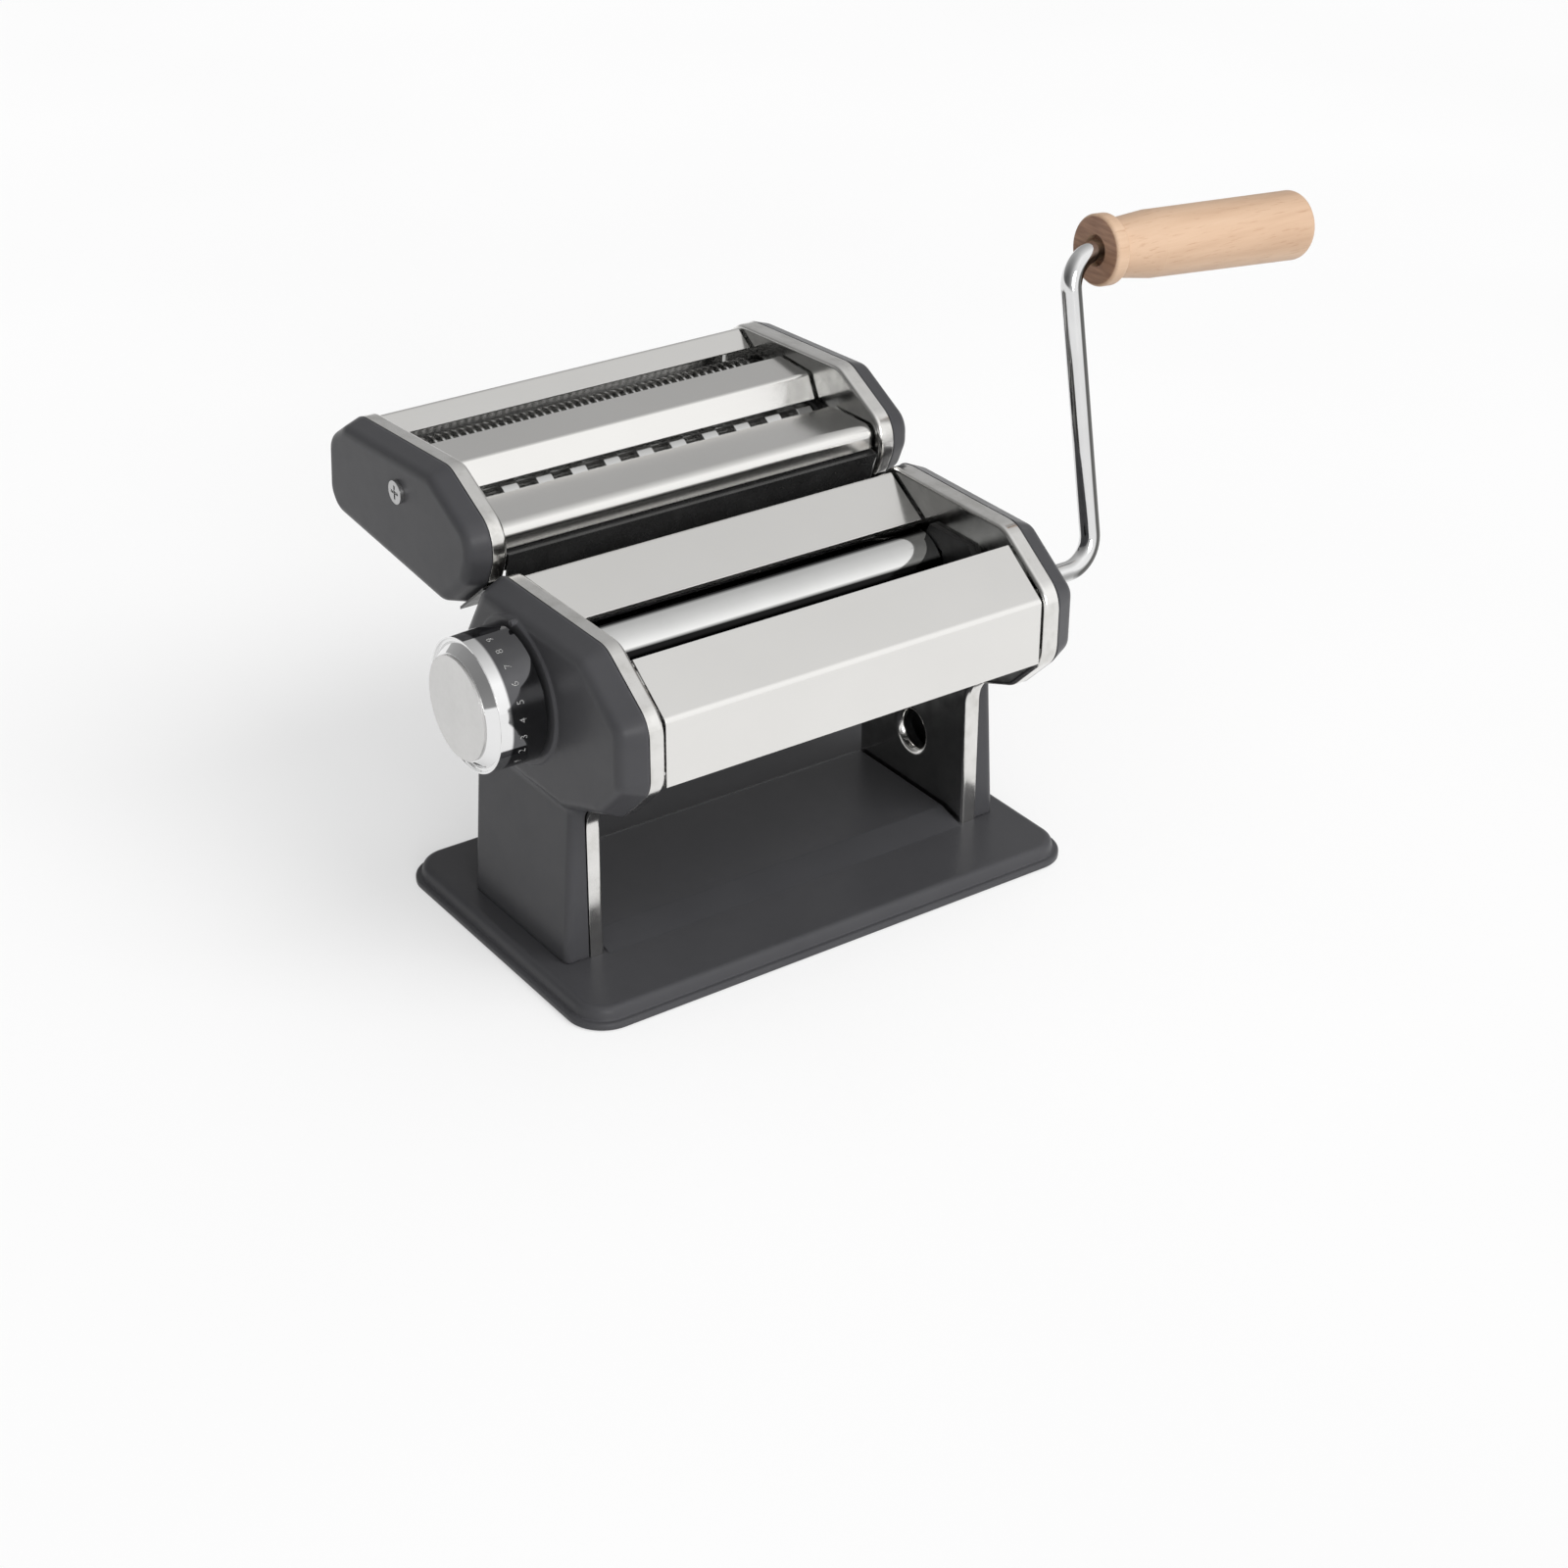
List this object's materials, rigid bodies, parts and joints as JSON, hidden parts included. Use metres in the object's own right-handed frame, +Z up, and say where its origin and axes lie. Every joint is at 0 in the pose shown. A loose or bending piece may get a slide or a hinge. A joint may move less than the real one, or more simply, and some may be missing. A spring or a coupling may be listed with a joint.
{
  "type": "pasta roller machine",
  "caption": "Hand-cranked pasta roller with bright steel panels, a dial for the roller gap, a wooden crank grip and a lift-off cutter unit of wide and fine cutters.",
  "frame": {"origin": "middle of the base, on the ground under the rubber mat", "axes": "+X along the rollers towards the crank, +Y to the back where the cutter unit hangs, +Z up"},
  "size_m": [0.3302, 0.1892, 0.2099],
  "materials": {
    "paint": "satin anthracite paint",
    "panel": "satin stainless sheet",
    "plate": "nickel-bright pressed sheet",
    "roller": "polished",
    "cutter": "bright turned steel",
    "steel": "plain steel",
    "nylon": "black nylon",
    "knob": "mirror chrome",
    "dial": "satin",
    "rod": "polished",
    "grip": "oiled beech",
    "rubber": "matt black"
  },
  "bodies": {
    "frame": {"base_plate": "paint", "rubber_mat": "rubber", "side_plate_left": "plate", "side_plate_right": "plate", "cover_left": "paint", "cover_right": "paint", "front_panel": "panel", "feed_panel": "panel", "back_panel": "panel", "tie_rods": "steel", "tie_rod_nuts": "steel", "dough_guide_left": "nylon", "dough_guide_right": "nylon", "scraper_bars": "nylon", "drive_bush_left": "nylon", "drive_bush_right": "nylon", "adjust_bush": "nylon", "bearing_bridge": "steel", "hanger_keepers": "nylon"},
    "drive": {"drive_roller": "roller", "drive_gear": "steel"},
    "crank": {"crank_rod": "rod", "grip_cap": "rod"},
    "grip": {"crank_grip": "grip"},
    "adjuster": {"adjust_shaft": "steel"},
    "knob": {"dial_knob": "knob", "dial_face": "dial"},
    "sleeves": {"roller_sleeves": "steel"},
    "adjusted_roller": {"adjust_roller": "roller", "adjust_gear": "steel"},
    "cutter_unit": {"cutter_plate_left": "plate", "cutter_plate_right": "plate", "cutter_cap_left": "paint", "cutter_cap_right": "paint", "cap_screws": "steel", "rear_guard": "panel", "middle_guard": "panel", "front_guard": "panel", "hanger_plate": "paint", "cutter_tie_rods": "steel", "cutter_rod_nuts": "steel", "cutter_bushes": "nylon", "stripper_bars": "nylon"},
    "wide_driver": {"wide_cutter_front": "cutter", "wide_front_gear": "steel"},
    "wide_partner": {"wide_cutter_rear": "cutter", "wide_rear_gear": "steel"},
    "fine_driver": {"fine_cutter_front": "cutter", "fine_front_gear": "steel"},
    "fine_partner": {"fine_cutter_rear": "cutter", "fine_rear_gear": "steel"}
  },
  "joints": [
    {"name": "crank_turn", "type": "hinge", "parent": "frame", "child": "drive", "pos_m": [0, -0.0358, 0.096], "axis": [1, 0, 0], "continuous": true},
    {"name": "crank_pull", "type": "slide", "parent": "drive", "child": "crank", "axis": [1, 0, 0], "range_m": [0, 0.016]},
    {"name": "grip_spin", "type": "hinge", "parent": "crank", "child": "grip", "pos_m": [0.131, -0.0152, 0.19814], "axis": [0.9962, -0.0172, -0.0854], "continuous": true},
    {"name": "knob_turn", "type": "hinge", "parent": "frame", "child": "adjuster", "pos_m": [0, -0.0061, 0.09646], "axis": [1, 0, 0], "range_deg": [-135, 0]},
    {"name": "knob_pull", "type": "slide", "parent": "adjuster", "child": "knob", "axis": [-1, 0, 0], "range_m": [0, 0.005], "stiffness_N_per_m": 400},
    {"name": "sleeve_turn", "type": "hinge", "parent": "adjuster", "child": "sleeves", "pos_m": [0, -0.005, 0.096], "axis": [1, 0, 0], "range_deg": [0, 135]},
    {"name": "adjusted_roller_spin", "type": "hinge", "parent": "sleeves", "child": "adjusted_roller", "pos_m": [0, -0.005, 0.096], "axis": [1, 0, 0], "continuous": true},
    {"name": "cutter_lift", "type": "slide", "parent": "frame", "child": "cutter_unit", "axis": [0, 0, 1], "range_m": [0, 0.025]},
    {"name": "wide_turn", "type": "hinge", "parent": "cutter_unit", "child": "wide_driver", "pos_m": [0, 0.0453, 0.125], "axis": [1, 0, 0], "continuous": true},
    {"name": "wide_follow", "type": "hinge", "parent": "cutter_unit", "child": "wide_partner", "pos_m": [0, 0.0617, 0.125], "axis": [1, 0, 0], "continuous": true},
    {"name": "fine_turn", "type": "hinge", "parent": "cutter_unit", "child": "fine_driver", "pos_m": [0, 0.0818, 0.1285], "axis": [1, 0, 0], "continuous": true},
    {"name": "fine_follow", "type": "hinge", "parent": "cutter_unit", "child": "fine_partner", "pos_m": [0, 0.0982, 0.1285], "axis": [1, 0, 0], "continuous": true}
  ],
  "couplings": [
    {"joint": "adjusted_roller_spin", "follows": "crank_turn", "ratio": -1},
    {"joint": "sleeve_turn", "follows": "knob_turn", "ratio": -1},
    {"joint": "wide_follow", "follows": "wide_turn", "ratio": -1},
    {"joint": "fine_follow", "follows": "fine_turn", "ratio": -1}
  ]
}
